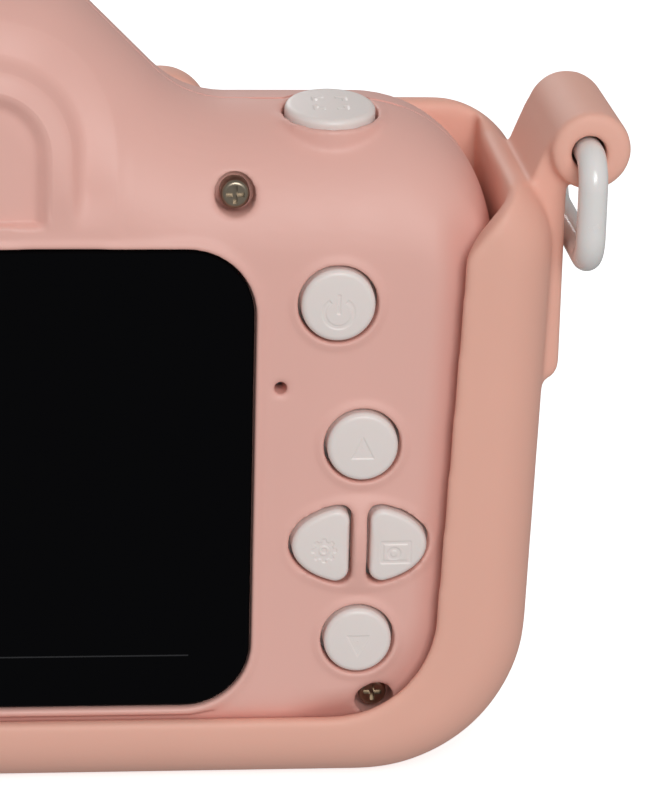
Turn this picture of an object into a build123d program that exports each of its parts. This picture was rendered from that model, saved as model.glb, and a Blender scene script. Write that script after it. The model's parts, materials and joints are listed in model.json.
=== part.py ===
from build123d import *
import math
import os

# Children's digital camera in a soft silicone case.
# X runs to the right as seen from behind, Y points forward to the lens, Z is up, all in millimetres.
# "Depth" is measured forward from the flat rear face of the body.

# ---- Driving dimensions -------------------------------------------------------------------------
REAR_Y = -18.5                 # row-frame Y of the flat rear face
CLEARANCE = 0.15               # gap between assembled moulded parts
WALL = 1.8                     # thickness of the moulded shells

# Body
BODY_DEPTH = 21.5
PARTING_DEPTH = 11.0           # the two shells meet here, at the crest of the top
HALF_WIDTH_TOP = 42.3
HALF_WIDTH_FOOT = 40.8
BODY_FLOOR_Z = 3.2
SHOULDER_Z = 57.0
HUMP_CORNER_Z = 73.4           # where the two 45 degree flanks of the hump would meet
HUMP_TOP_RADIUS = 11.8
HUMP_FOOT_RADIUS = 8.5
SHOULDER_RADIUS = 11.5
FOOT_RADIUS = 10.0
REAR_TOP_ROUND = 11.0          # how far the rear face falls away towards the top
REAR_SIDE_ROUND = 5.0
FRONT_TOP_ROUND = 5.0
FRONT_SIDE_ROUND = 4.0
INNER_ROUND = {"rear": (9.0, 3.0), "front": (3.5, 1.5)}   # top and side rounding of the cavities
BLEND_STEPS = 8

# Screen
SCREEN_X, SCREEN_Z = -3.3, 27.0
GLASS_W, GLASS_H, GLASS_R, GLASS_T = 50.0, 39.8, 5.5, 1.2
GLASS_DEPTH = 0.1
SCREEN_RIM = 0.9
SCREEN_RIM_RISE = 0.35
SCREEN_SEAT = 1.45             # depth of the ledge that the window is stuck to
SCREEN_WALL = 2.8              # depth to which the wall is thickened round the screen
LCD_W, LCD_H, LCD_T = 47.0, 36.0, 1.2
LCD_VIEW_W, LCD_VIEW_H = 44.5, 34.5
GASKET_T, BACKLIGHT_T = 0.3, 1.2
LCD_DEPTH = SCREEN_WALL + GASKET_T

# Dummy eyepiece arch above the screen
ARCH_INNER, ARCH_OUTER = 5.3, 6.9
ARCH_TOP_Z, ARCH_FOOT_Z = 60.1, 48.0
ARCH_RISE = 0.5
ARCH_RECESS = 0.9
ARCH_RECESS_FOOT_Z = 49.4

# Rear buttons: name, x, z, radius
ROUND_BUTTONS = [("power", 28.5, 42.4, 3.05), ("up", 30.8, 30.2, 2.95), ("down", 30.8, 13.0, 2.85)]
PAIR_X, PAIR_Z = 30.75, 21.5
PAIR_HALF_W, PAIR_HALF_H, PAIR_BAR = 5.65, 3.45, 1.7
PAIR_STEM_X = {"menu": 28.2, "mode": 33.3}
BUTTON_PROUD = 0.6
BUTTON_GAP = 0.25
BUTTON_FLANGE = 0.6
PAD_MARGIN = 1.05              # raised ring of the face round each button
PAD_CROWN = 0.9                # height the domed pad would have over the button's centre
PAD_ROOT = 1.0                 # how deep the pads reach into the wall
STEM_RADIUS = 1.3

# Main board and its switches
BOARD_DEPTH, BOARD_T = 8.6, 1.2
BOARD_HALF_W, BOARD_LOW_Z, BOARD_HIGH_Z = 37.5, 10.5, 46.8
SWITCH_SIZE, SWITCH_T = 4.6, 1.5
PLUNGER_RADIUS, PLUNGER_PROUD, PLUNGER_LENGTH = 1.0, 0.5, 1.3
SWITCH_BORE_RADIUS, SWITCH_BORE_DEPTH = 1.15, 1.3

# Shutter button on the right shoulder, leaning back
SHUTTER_X, SHUTTER_DEPTH, SHUTTER_Z = 28.2, 8.0, 56.65
SHUTTER_LEAN = 8.0
SHUTTER_RADIUS, COLLAR_RADIUS = 3.75, 4.55
SHUTTER_PROUD = 0.65
COLLAR_LENGTH = 3.25

# Fasteners
HOUSING_SCREWS = [(-20.07, 51.2, 1.6), (20.07, 51.2, 1.6),      # x, z and how deep the head sits
                  (-32.5, 7.0, 2.6), (32.5, 7.0, 2.6)]
HOUSING_HEAD_RADIUS, HOUSING_SHANK_RADIUS = 1.2, 0.85
HOUSING_RECESS_RADIUS, HOUSING_HEAD_T = 1.67, 1.9
HOUSING_TIP_DEPTH = 16.5
HOUSING_BOSS_RADIUS = 2.6
BOARD_SCREWS = [(-35.2, 44.5), (35.2, 44.5), (-29.5, 12.6), (35.6, 16.2)]
BOARD_BOSS_RADIUS = 1.9

# Lens assembly on the front
LENS_Z = 29.0
LENS_FRONT = 39.0
BARREL_RADIUS, BARREL_BORE = 20.0, 18.2
LENS_FLANGE_RADIUS, LENS_FLANGE_T = 21.6, 1.4
TRIM_RADIUS, TRIM_BORE, TRIM_DEPTH = 20.6, 16.6, 35.5
LENS_WINDOW_RADIUS = 6.0
LENS_WINDOW_DEPTH = 34.0
FLASH_X, FLASH_Z = 0.0, LENS_Z + 11.2
FLASH_RADIUS = 1.9

# Ports in the left side, and what sits in them
PORT_Z = 22.0
USB_H, USB_T, USB_L = 8.94, 3.2, 7.3
CARD_W, CARD_H, CARD_T = 15.0, 11.0, 1.0
CARD_END_X = -41.0
CARD_DEPTH = BOARD_DEPTH - 1.4

# Mic, speaker and battery
MIC_X, MIC_Z, MIC_HOLE_RADIUS = 23.95, 35.15, 0.52
SPEAKER_X, SPEAKER_Z, SPEAKER_RADIUS, SPEAKER_T = 29.8, 25.0, 7.2, 3.5
GRILLE_RING_RADIUS, GRILLE_HOLE_RADIUS = 3.4, 0.8
BATTERY_X, BATTERY_Z = -20.5, 30.0
BATTERY_W, BATTERY_H, BATTERY_T = 25.0, 32.0, 5.5

# Silicone case
CASE_REAR, CASE_FRONT_INNER, CASE_FRONT = -1.2, 21.7, 24.8
CASE_HALF_TOP, CASE_HALF_FOOT, CASE_TOP_Z = 46.6, 45.0, 54.2
CASE_TOP_RADIUS, CASE_FOOT_RADIUS = 8.0, 14.0
CASE_RIM_Z = 52.3
CASE_LIP_ROUND, CASE_FRONT_ROUND = 4.6, 2.4
CASE_FIT = 0.2
LIP_FOOT_X, LIP_FOOT_Z = 36.9, 6.05          # inner edge of the rear lip
LIP_TOP_X, LIP_TOP_Z, LIP_CORNER = 38.8, 46.6, 9.0
LUG_X, LUG_Z, LUG_RADIUS, LUG_BORE_RADIUS = 48.9, 54.6, 3.3, 1.45
LUG_SHIFT_X, LUG_SHIFT_Z = 0.2, 0.15         # the tube's middle lies outside and above its bore's
LUG_REAR, LUG_FRONT = 1.5, 17.0
WEB_REAR = 3.0                 # where the web between lug and wall starts
RIB_OUTER_X, RIB_FOOT_Z = 47.4, 34.9
EAR_X, EAR_Z, EAR_RADIUS, EAR_FRONT = 15.0, 52.1, 4.3, 26.3

LENS_COLLAR_RADIUS, LENS_COLLAR_RISE = 23.6, 0.8

# Strap rings
RING_WIRE = 1.2
RING_OVERHANG = 2.3            # how far the loop stands out past each end of the lug
RING_LOW_Z = 46.05
RING_BEND = 2.3

PARTS = {}


# ---- Helpers ------------------------------------------------------------------------------------
def rear_plane(depth):
    """Plane seen from behind at this depth: local x is X and local y is Z."""
    return Plane(origin=(0, REAR_Y + depth, 0), x_dir=(1, 0, 0), z_dir=(0, -1, 0))


def prism(outline, start, end):
    """An outline drawn as seen from behind, run forward from one depth to another."""
    return extrude(rear_plane(start) * outline, amount=end - start, dir=(0, 1, 0))


def rod(x, z, radius, start, end):
    return prism(Pos(x, z) * Circle(radius), start, end)


def slab(x, z, width, height, start, end, corner=0.0):
    outline = RectangleRounded(width, height, corner) if corner else Rectangle(width, height)
    return prism(Pos(x, z) * outline, start, end)


def drum(x, z, radius, start, end, edge):
    """A disc along Y with both rims rounded."""
    disc = rod(x, z, radius, start, end)
    return fillet(disc.edges().filter_by(GeomType.CIRCLE), edge)


def body_outline(side, top, foot):
    """Camera outline from behind, moved in by these amounts at the sides, the top and the foot."""
    diagonal = math.sqrt(2)
    hump_foot_x = HUMP_CORNER_Z - SHOULDER_Z - top * (diagonal - 1)
    half_top = HALF_WIDTH_TOP - side
    half_foot = HALF_WIDTH_FOOT - side
    shoulder = SHOULDER_Z - top
    corners = [
        (-half_foot, BODY_FLOOR_Z + foot),
        (half_foot, BODY_FLOOR_Z + foot),
        (half_top, shoulder),
        (hump_foot_x, shoulder),
        (0, HUMP_CORNER_Z - top * diagonal),
        (-hump_foot_x, shoulder),
        (-half_top, shoulder),
    ]
    shoulder_radius = max(SHOULDER_RADIUS - (side + top) / 2, 1.0)
    foot_radius = max(FOOT_RADIUS - side, 1.0)
    hump_radius = max(HUMP_TOP_RADIUS - top, 1.0)
    hump_foot_radius = HUMP_FOOT_RADIUS + top
    radii = [foot_radius, foot_radius, shoulder_radius, hump_foot_radius,
             hump_radius, hump_foot_radius, shoulder_radius]
    return make_face(FilletPolyline(*corners, radius=radii, close=True))


def rounded_block(face_depth, end_depth, top_round, side_round, inset):
    """Half of the body: its flat face at face_depth, swelling to the full outline at end_depth."""
    sections = []
    for step in range(BLEND_STEPS + 1):
        angle = math.radians(90 * step / BLEND_STEPS)
        depth = face_depth + (end_depth - face_depth) * (1 - math.cos(angle))
        top = top_round * (1 - math.sin(angle)) + inset
        side = side_round * (1 - math.sin(angle)) ** 1.8 + inset
        sections.append(rear_plane(depth) * body_outline(side, top, side))
    return loft(sections)


def rear_block(inset=0.0):
    return rounded_block(inset, PARTING_DEPTH, REAR_TOP_ROUND, REAR_SIDE_ROUND, inset)


def front_block(inset=0.0):
    return rounded_block(BODY_DEPTH - inset, PARTING_DEPTH, FRONT_TOP_ROUND, FRONT_SIDE_ROUND, inset)


def rear_cavity():
    return rounded_block(WALL, PARTING_DEPTH, *INNER_ROUND["rear"], WALL)


def front_cavity():
    return rounded_block(BODY_DEPTH - WALL, PARTING_DEPTH, *INNER_ROUND["front"], WALL)


def shutter_frame(height):
    """Plane across the shutter's leaning axis, this far above the top of its collar."""
    lean = math.radians(SHUTTER_LEAN)
    axis = (0, -math.sin(lean), math.cos(lean))
    origin = Vector(SHUTTER_X, REAR_Y + SHUTTER_DEPTH, SHUTTER_Z) + Vector(axis) * height
    return Plane(origin=origin, x_dir=(1, 0, 0), z_dir=axis)


def shutter_disc(radius, low, high):
    return extrude(shutter_frame(low) * Circle(radius), amount=high - low)


def half_round(side, grow=0.0):
    """Outline of one of the half-round buttons: an ellipse cut flat beside the middle bar."""
    flat_x = side * (PAIR_BAR / 2 - grow)
    ellipse = Ellipse(PAIR_HALF_W + grow, PAIR_HALF_H + grow)
    keep = Pos(flat_x + side * PAIR_HALF_W, 0) * Rectangle(2 * PAIR_HALF_W, 4 * PAIR_HALF_H)
    outline = ellipse & keep
    return Pos(PAIR_X, PAIR_Z) * fillet(outline.vertices(), 1.1)


def grille(depth_start, depth_end, radius):
    holes = [rod(SPEAKER_X, SPEAKER_Z, radius, depth_start, depth_end)]
    for step in range(6):
        angle = math.radians(60 * step)
        x = SPEAKER_X + GRILLE_RING_RADIUS * math.cos(angle)
        z = SPEAKER_Z + GRILLE_RING_RADIUS * math.sin(angle)
        holes.append(rod(x, z, radius, depth_start, depth_end))
    return holes


def wire_tube(points, radii, radius):
    """A round lead along straight runs joined by arcs."""
    path = FilletPolyline(*points, radius=radii)
    start = Plane(origin=path @ 0, z_dir=path % 0)
    return sweep(start * Circle(radius), path=path)


def from_depth(x, depth, z):
    return (x, REAR_Y + depth, z)


# ---- Shells -------------------------------------------------------------------------------------
def button_pad(x, z, half_width, half_height):
    """Low dome in the rear face round a button, cut through later by the button's hole."""
    dome_radius = (half_height ** 2 + PAD_CROWN ** 2) / (2 * PAD_CROWN)
    stretch = half_width / half_height
    dome = scale(Sphere(dome_radius), by=(stretch, 1, 1)) if stretch > 1 else Sphere(dome_radius)
    outline = Pos(x, z) * Ellipse(half_width + PAD_MARGIN / 4, half_height + PAD_MARGIN / 4)
    return Pos(x, REAR_Y + dome_radius - PAD_CROWN, z) * dome & prism(outline, -PAD_CROWN - 1, PAD_ROOT)


def button_pads():
    pads = [button_pad(PAIR_X, PAIR_Z, PAIR_HALF_W + PAD_MARGIN, PAIR_HALF_H + PAD_MARGIN)]
    for _, x, z, radius in ROUND_BUTTONS:
        pads.append(button_pad(x, z, radius + PAD_MARGIN, radius + PAD_MARGIN))
    return pads


def arch_outline(half_width, foot_z, top_z):
    """Upright outline with a half-round head."""
    straight = top_z - half_width - foot_z
    column = Pos(0, foot_z + straight / 2) * Rectangle(2 * half_width, straight)
    head = Circle(half_width) & Pos(0, half_width / 2) * Rectangle(2 * half_width, half_width)
    return column + Pos(0, top_z - half_width) * head


def eyepiece_arch():
    """Raised rib round the dummy eyepiece, tapering out at its feet."""
    rib_width = ARCH_OUTER - ARCH_INNER
    outer = arch_outline(ARCH_OUTER, ARCH_FOOT_Z, ARCH_TOP_Z + rib_width)
    inner = arch_outline(ARCH_INNER, ARCH_FOOT_Z, ARCH_TOP_Z)
    rib = prism(outer - inner, -ARCH_RISE, 4.0)
    taper = Plane.YZ * Polyline((REAR_Y - 3, 45), (REAR_Y + 0.4, 45), (REAR_Y, 48.0),
                                (REAR_Y - ARCH_RISE, 51.0), (REAR_Y - 3, 51.0), close=True)
    wedge = extrude(make_face(taper), amount=20, both=True)
    return rib - wedge


def screen_rim():
    outer = RectangleRounded(GLASS_W + 2 * SCREEN_RIM, GLASS_H + 2 * SCREEN_RIM, GLASS_R + SCREEN_RIM)
    rim = prism(Pos(SCREEN_X, SCREEN_Z) * outer, -SCREEN_RIM_RISE, 1.0)
    rear_edges = rim.faces().sort_by(Axis.Y)[0].edges()
    return chamfer(rear_edges, SCREEN_RIM_RISE - 0.05, 0.7)


def rear_shell():
    outer = rear_block()
    features = [
        slab(SCREEN_X, SCREEN_Z, GLASS_W + 2.4, GLASS_H + 2.4, 1.0, SCREEN_WALL, 4.0),
        rod(MIC_X, MIC_Z, 2.4, 1.0, 2.9),
    ]
    for x, z, _ in HOUSING_SCREWS:
        features.append(rod(x, z, HOUSING_BOSS_RADIUS, 0.5, PARTING_DEPTH))
    for x, z in BOARD_SCREWS:
        features.append(rod(x, z, BOARD_BOSS_RADIUS, 1.0, BOARD_DEPTH))
    for x in (23.6, 32.8):
        features.append(slab(x, 49.2, 1.2, 4.6, 1.0, PARTING_DEPTH))
    kept = [feature & outer for feature in features]
    shell = (outer - rear_cavity()) + kept
    shell = shell + shutter_disc(COLLAR_RADIUS, -COLLAR_LENGTH, 0.0) + screen_rim() + eyepiece_arch()
    shell += button_pads()
    shell -= prism(arch_outline(ARCH_INNER, ARCH_RECESS_FOOT_Z, ARCH_TOP_Z), -2, ARCH_RECESS)
    cuts = [
        slab(SCREEN_X, SCREEN_Z, GLASS_W + 2 * CLEARANCE, GLASS_H + 2 * CLEARANCE, -2, SCREEN_SEAT,
             GLASS_R + CLEARANCE),
        slab(SCREEN_X, SCREEN_Z, LCD_VIEW_W, LCD_VIEW_H, 0, 4),
        rod(MIC_X, MIC_Z, MIC_HOLE_RADIUS, -2, 4),
        shutter_disc(SHUTTER_RADIUS + BUTTON_GAP, -5, 3),
        shutter_disc(SHUTTER_RADIUS + 1.1, -COLLAR_LENGTH - 1.6, -COLLAR_LENGTH),
        card_slot(),
        usb_slot(),
    ]
    for _, x, z, radius in ROUND_BUTTONS:
        cuts.append(rod(x, z, radius + BUTTON_GAP, -2, 4))
    for side in (-1, 1):
        cuts.append(prism(half_round(side, BUTTON_GAP), -2, 4))
    for x, z, head_depth in HOUSING_SCREWS:
        seat = head_depth + HOUSING_HEAD_T
        cuts.append(rod(x, z, HOUSING_RECESS_RADIUS, -2, seat))
        cuts.append(rod(x, z, HOUSING_SHANK_RADIUS + 0.1, 0, PARTING_DEPTH + 1))
    for x, z in BOARD_SCREWS:
        cuts.append(rod(x, z, 0.78, 4.0, BOARD_DEPTH + 1))
    return shell - cuts


def front_shell():
    outer = front_block()
    features = [rod(x, z, HOUSING_BOSS_RADIUS, PARTING_DEPTH, BODY_DEPTH) for x, z, _ in HOUSING_SCREWS]
    shell = (outer - front_cavity()) + [feature & outer for feature in features]
    cuts = [
        rod(0, LENS_Z, BARREL_RADIUS + CLEARANCE, 12, BODY_DEPTH + 2),
        shutter_disc(COLLAR_RADIUS + CLEARANCE, -6, 3),
        usb_slot(),
    ]
    cuts += grille(15, BODY_DEPTH + 2, GRILLE_HOLE_RADIUS)
    for x, z, _ in HOUSING_SCREWS:
        cuts.append(rod(x, z, HOUSING_SHANK_RADIUS + 0.02, PARTING_DEPTH - 1, HOUSING_TIP_DEPTH + 1))
    return shell - cuts


# ---- Ports --------------------------------------------------------------------------------------
def usb_slot():
    centre = BOARD_DEPTH + BOARD_T + USB_T / 2
    slot = Box(8, USB_T + 0.6, USB_H + 0.6)
    return Pos(*from_depth(-41, centre, PORT_Z)) * slot


def card_slot():
    return Pos(*from_depth(-41, CARD_DEPTH + CARD_T / 2, PORT_Z)) * Box(8, CARD_T + 0.5, CARD_H + 0.8)


def memory_card():
    card = slab(CARD_END_X + CARD_W / 2, PORT_Z, CARD_W, CARD_H, CARD_DEPTH, CARD_DEPTH + CARD_T, 0.7)
    groove = slab(CARD_END_X + 1.0, PORT_Z, 0.6, 7.0, CARD_DEPTH - 1, CARD_DEPTH + 0.25)
    return card - groove


def card_socket():
    low = CARD_END_X + 4.0
    high = CARD_END_X + CARD_W + 1.6
    shell = slab((low + high) / 2, PORT_Z, high - low, 14.6, CARD_DEPTH - 0.5, BOARD_DEPTH)
    room = slab(CARD_END_X + CARD_W / 2 - 2, PORT_Z, CARD_W + 4.4, CARD_H + 0.4,
                CARD_DEPTH - 0.2, CARD_DEPTH + CARD_T + 0.2)
    return shell - room


def usb_socket():
    start = BOARD_DEPTH + BOARD_T
    shell = slab(-40.9 + USB_L / 2, PORT_Z, USB_L, USB_H, start, start + USB_T)
    edges = shell.edges().filter_by(Axis.X)
    shell = fillet(edges, 1.2)
    room = slab(-41.5 + USB_L / 2, PORT_Z, USB_L, USB_H - 0.7, start + 0.35, start + USB_T - 0.35)
    room = fillet(room.edges().filter_by(Axis.X), 0.9)
    tongue = slab(-40.3 + 3.2, PORT_Z, 6.4, 6.6, start + USB_T / 2 - 0.35, start + USB_T / 2 + 0.35)
    return (shell - room) + tongue


# ---- Screen stack -------------------------------------------------------------------------------
def screen_window():
    glass = slab(SCREEN_X, SCREEN_Z, GLASS_W, GLASS_H, GLASS_DEPTH, GLASS_DEPTH + GLASS_T, GLASS_R)
    rear_edges = glass.faces().sort_by(Axis.Y)[0].edges()
    return chamfer(rear_edges, 0.15)


def frame_ring(width, height, corner, view_w, view_h, start, end):
    ring = slab(SCREEN_X, SCREEN_Z, width, height, start, end, corner)
    return ring - slab(SCREEN_X, SCREEN_Z, view_w, view_h, start - 1, end + 1)


def window_tape():
    start = GLASS_DEPTH + GLASS_T
    return frame_ring(GLASS_W - 1.0, GLASS_H - 1.0, GLASS_R - 0.5, LCD_VIEW_W + 0.2, LCD_VIEW_H + 0.2,
                      start, SCREEN_SEAT)


def lcd_gasket():
    return frame_ring(LCD_W, LCD_H, 0.5, LCD_VIEW_W - 0.6, LCD_VIEW_H - 0.4, SCREEN_WALL, LCD_DEPTH)


def lcd_panel():
    return slab(SCREEN_X, SCREEN_Z, LCD_W, LCD_H, LCD_DEPTH, LCD_DEPTH + LCD_T, 0.4)


def lcd_backlight():
    start = LCD_DEPTH + LCD_T
    end = start + BACKLIGHT_T
    tray = slab(SCREEN_X, SCREEN_Z, LCD_W, LCD_H, start, end, 0.6)
    return tray - slab(SCREEN_X, SCREEN_Z + 2, LCD_W - 6, LCD_H - 10, end - 0.2, end + 0.5)


def lcd_ribbon():
    """Flat flex from the backlight's foot, folded forward onto the board."""
    low_z = SCREEN_Z - LCD_H / 2 + 3
    return flat_flex(-9, 12, [(5.65, low_z + 6), (5.65, low_z), (8.45, low_z), (8.45, low_z + 6)], 1.0)


# ---- Rear buttons and their switches ------------------------------------------------------------
def button_stack(outline, flange, stem_x, stem_z):
    """Cap, retaining flange behind the wall, and the stem that reaches the switch."""
    cap = prism(outline, -BUTTON_PROUD, WALL + CLEARANCE)
    cap = fillet(cap.faces().sort_by(Axis.Y)[0].edges(), 0.45)
    stem_end = BOARD_DEPTH - SWITCH_T - PLUNGER_PROUD
    return cap + prism(flange, WALL + CLEARANCE, WALL + CLEARANCE + 0.6) \
        + rod(stem_x, stem_z, STEM_RADIUS, WALL + CLEARANCE + 0.6, stem_end)


def switch_base(x, z):
    top = BOARD_DEPTH - SWITCH_T
    base = slab(x, z, SWITCH_SIZE, SWITCH_SIZE, top, BOARD_DEPTH, 0.4)
    return base - rod(x, z, SWITCH_BORE_RADIUS, top - 1, top + SWITCH_BORE_DEPTH)


def switch_plunger(x, z):
    start = BOARD_DEPTH - SWITCH_T - PLUNGER_PROUD
    return rod(x, z, PLUNGER_RADIUS, start, start + PLUNGER_LENGTH)


def rear_buttons():
    bases = []
    for name, x, z, radius in ROUND_BUTTONS:
        cap = Pos(x, z) * Circle(radius)
        flange = Pos(x, z) * Circle(radius + BUTTON_FLANGE)
        PARTS[name + "_button"] = button_stack(cap, flange, x, z)
        PARTS[name + "_switch_plunger"] = switch_plunger(x, z)
        bases.append(switch_base(x, z))
    for name, side in (("menu", -1), ("mode", 1)):
        stem_x = PAIR_STEM_X[name]
        PARTS[name + "_button"] = button_stack(half_round(side), half_round(side, 0.55), stem_x, PAIR_Z)
        PARTS[name + "_switch_plunger"] = switch_plunger(stem_x, PAIR_Z)
        bases.append(switch_base(stem_x, PAIR_Z))
    PARTS["rear_switch_bases"] = Compound(children=bases)


def shutter_button():
    cap = shutter_disc(SHUTTER_RADIUS, -COLLAR_LENGTH - CLEARANCE, SHUTTER_PROUD)
    crown = cap.faces().sort_by(Axis.Z)[-1]
    cap = fillet(crown.edges(), 0.4)
    flange = shutter_disc(SHUTTER_RADIUS + 0.75, -COLLAR_LENGTH - 0.75, -COLLAR_LENGTH - CLEARANCE)
    stem = shutter_disc(STEM_RADIUS, -6.0, -COLLAR_LENGTH - 0.75)
    return cap + flange + stem


def shutter_switch():
    base = extrude(shutter_frame(-8.0) * RectangleRounded(SWITCH_SIZE, SWITCH_SIZE, 0.4), amount=SWITCH_T)
    return base - shutter_disc(SWITCH_BORE_RADIUS, -8.0 + SWITCH_T - SWITCH_BORE_DEPTH, -5)


def shutter_board():
    return extrude(shutter_frame(-9.0) * Rectangle(8.0, 7.6), amount=1.0)


# ---- Boards, power and sound --------------------------------------------------------------------
def main_board():
    height = BOARD_HIGH_Z - BOARD_LOW_Z
    middle = (BOARD_HIGH_Z + BOARD_LOW_Z) / 2
    board = slab(0, middle, 2 * BOARD_HALF_W, height, BOARD_DEPTH, BOARD_DEPTH + BOARD_T, 1.5)
    return board - [rod(x, z, 0.95, 0, 12) for x, z in BOARD_SCREWS]


def board_screw(x, z):
    head = drum(x, z, 1.5, BOARD_DEPTH + BOARD_T, BOARD_DEPTH + BOARD_T + 0.9, 0.25)
    return head + rod(x, z, 0.75, 5.0, BOARD_DEPTH + BOARD_T)


def housing_screw(x, z, head_depth):
    """Pan head with a cross recess, and a self-tapping shank."""
    seat = head_depth + HOUSING_HEAD_T
    head = rod(x, z, HOUSING_HEAD_RADIUS, head_depth, seat)
    head = fillet(head.faces().sort_by(Axis.Y)[0].edges(), 0.35)
    cross = Rectangle(1.5, 0.36) + Rectangle(0.36, 1.5)
    screw = head + rod(x, z, HOUSING_SHANK_RADIUS, seat, HOUSING_TIP_DEPTH)
    return screw - prism(Pos(x, z) * cross, 0, head_depth + 0.6)


def chip(x, z, width, height, thickness, start=BOARD_DEPTH + BOARD_T):
    return slab(x, z, width, height, start, start + thickness)


def battery():
    start = BOARD_DEPTH + BOARD_T + 0.5
    cell = slab(BATTERY_X, BATTERY_Z, BATTERY_W, BATTERY_H, start, start + BATTERY_T, 1.5)
    return fillet(cell.edges().filter_by(Axis.Y, reverse=True), 0.6)


def speaker():
    frame = rod(SPEAKER_X, SPEAKER_Z, SPEAKER_RADIUS, BODY_DEPTH - WALL - SPEAKER_T, BODY_DEPTH - WALL)
    cone_room = rod(SPEAKER_X, SPEAKER_Z, SPEAKER_RADIUS - 1.3, BODY_DEPTH - WALL - 0.8, BODY_DEPTH)
    return frame - cone_room


def speaker_cone():
    return rod(SPEAKER_X, SPEAKER_Z, SPEAKER_RADIUS - 1.5, BODY_DEPTH - WALL - 0.8, BODY_DEPTH - WALL - 0.4)


def lead_pair(points, spread, radii):
    """Two round leads side by side, a fixed distance apart in Z."""
    solids = []
    for offset in (-spread / 2, spread / 2):
        shifted = [(x, y, z + offset) for x, y, z in points]
        solids.append(wire_tube(shifted, radii, 0.4))
    return Compound(children=solids)


def battery_leads():
    route = [from_depth(-8.0, 13.2, 40), from_depth(-4.5, 13.2, 40), from_depth(-1.5, 11.6, 44.3),
             from_depth(1.95, 11.6, 44.3)]
    return lead_pair(route, 1.2, [1.6, 1.6])


def speaker_leads():
    route = [from_depth(22.8, 17.2, 28), from_depth(19.5, 17.2, 28), from_depth(15.5, 11.6, 37.2),
             from_depth(12.05, 11.6, 37.2)]
    return lead_pair(route, 1.2, [2.0, 2.0])


def connector(x, z):
    return chip(x, z, 4.0, 4.2, 3.0)


# ---- Lens assembly ------------------------------------------------------------------------------
def lens_tube(radius, bore, start, end):
    return rod(0, LENS_Z, radius, start, end) - rod(0, LENS_Z, bore, start - 1, end + 1)


def lens_barrel():
    flange_start = BODY_DEPTH - WALL - LENS_FLANGE_T
    tube = lens_tube(BARREL_RADIUS, BARREL_BORE, flange_start, TRIM_DEPTH)
    flange = lens_tube(LENS_FLANGE_RADIUS, BARREL_BORE, flange_start, BODY_DEPTH - WALL)
    return tube + flange


def lens_trim_ring():
    ring = lens_tube(TRIM_RADIUS, TRIM_BORE, TRIM_DEPTH, LENS_FRONT)
    front_edges = ring.faces().sort_by(Axis.Y)[-1].edges()
    ring = fillet(front_edges, 1.2)
    spigot = lens_tube(BARREL_BORE - 0.05, TRIM_BORE, TRIM_DEPTH - 1.6, TRIM_DEPTH)
    return ring + spigot


def lens_bezel():
    """Dark dished plate inside the trim ring, with stepped rings down to the window."""
    start = LENS_WINDOW_DEPTH - 1.4
    profile = Polyline((LENS_WINDOW_RADIUS - 1.2, start), (TRIM_BORE - 0.1, start),
                       (TRIM_BORE - 0.1, start + 4.4), (TRIM_BORE - 1.6, start + 4.4),
                       (12.4, start + 3.0), (12.4, start + 2.6), (9.0, start + 2.2), (9.0, start + 1.9),
                       (LENS_WINDOW_RADIUS + 0.1, start + 1.9), (LENS_WINDOW_RADIUS + 0.1, start + 1.0),
                       (LENS_WINDOW_RADIUS - 1.2, start + 1.0), close=True)
    spun = revolve(make_face(profile), axis=Axis.Y)
    plate = Pos(0, REAR_Y, LENS_Z) * spun
    return plate - rod(FLASH_X, FLASH_Z, FLASH_RADIUS + 0.1, 30, 40)


def lens_window():
    start = LENS_WINDOW_DEPTH - 0.4
    return drum(0, LENS_Z, LENS_WINDOW_RADIUS, start, start + 1.2, 0.3)


def flash_window():
    start = LENS_WINDOW_DEPTH - 1.4
    stub = rod(FLASH_X, FLASH_Z, FLASH_RADIUS, start, start + 2.8)
    return fillet(stub.faces().sort_by(Axis.Y)[-1].edges(), 0.6)


def lens_carrier():
    """Plate inside the barrel that holds the camera module and the flash board."""
    disc = rod(0, LENS_Z, BARREL_BORE - 0.05, 25.6, 27.0)
    struts = [rod(x, LENS_Z, 1.4, 27.0, LENS_WINDOW_DEPTH - 1.4) for x in (-13.0, 13.0)]
    window = slab(0, LENS_Z - 10, 9.0, 4.0, 20, 30)
    return disc + struts - window


def camera_board():
    return slab(0, LENS_Z, 9.0, 9.0, 27.0, 27.8)


def image_sensor():
    return slab(0, LENS_Z, 5.0, 5.0, 27.8, 28.5)


def camera_holder():
    block = slab(0, LENS_Z, 8.6, 8.6, 27.8, 30.2, 0.6)
    block = block + rod(0, LENS_Z, 3.9, 30.2, 31.6)
    return block - rod(0, LENS_Z, 3.3, 29.0, 33) - slab(0, LENS_Z, 5.4, 5.4, 27, 29.2)


def lens_cell():
    cell = rod(0, LENS_Z, 3.27, 29.4, 32.4)
    return cell - rod(0, LENS_Z, 2.2, 29, 31.2) - rod(0, LENS_Z, 2.6, 31.2, 33)


def objective_lens():
    blank = rod(0, LENS_Z, 2.57, 31.2, 32.2)
    return fillet(blank.faces().sort_by(Axis.Y)[-1].edges(), 0.5)


def flat_flex(x, width, profile, bend):
    """Flat flex of constant width, following a bent line given as (depth, z)."""
    path = Plane.YZ.offset(x) * FilletPolyline(*[(REAR_Y + depth, z) for depth, z in profile], radius=bend)
    start = Plane(origin=path @ 0, x_dir=(1, 0, 0), z_dir=path % 0)
    return sweep(start * Rectangle(width, 0.2), path=path)


def camera_ribbon():
    """Flex from the camera board's foot, back through the carrier to the main board."""
    passage = LENS_Z - 10
    board_face = BOARD_DEPTH + BOARD_T + 0.15
    return flat_flex(0, 6, [(27.3, LENS_Z - 4.55), (27.3, passage), (board_face, passage),
                            (board_face, passage - 5)], 1.2)


def flash_led():
    return slab(FLASH_X, FLASH_Z, 2.6, 2.6, 31.0, 32.4, 0.3)


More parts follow.
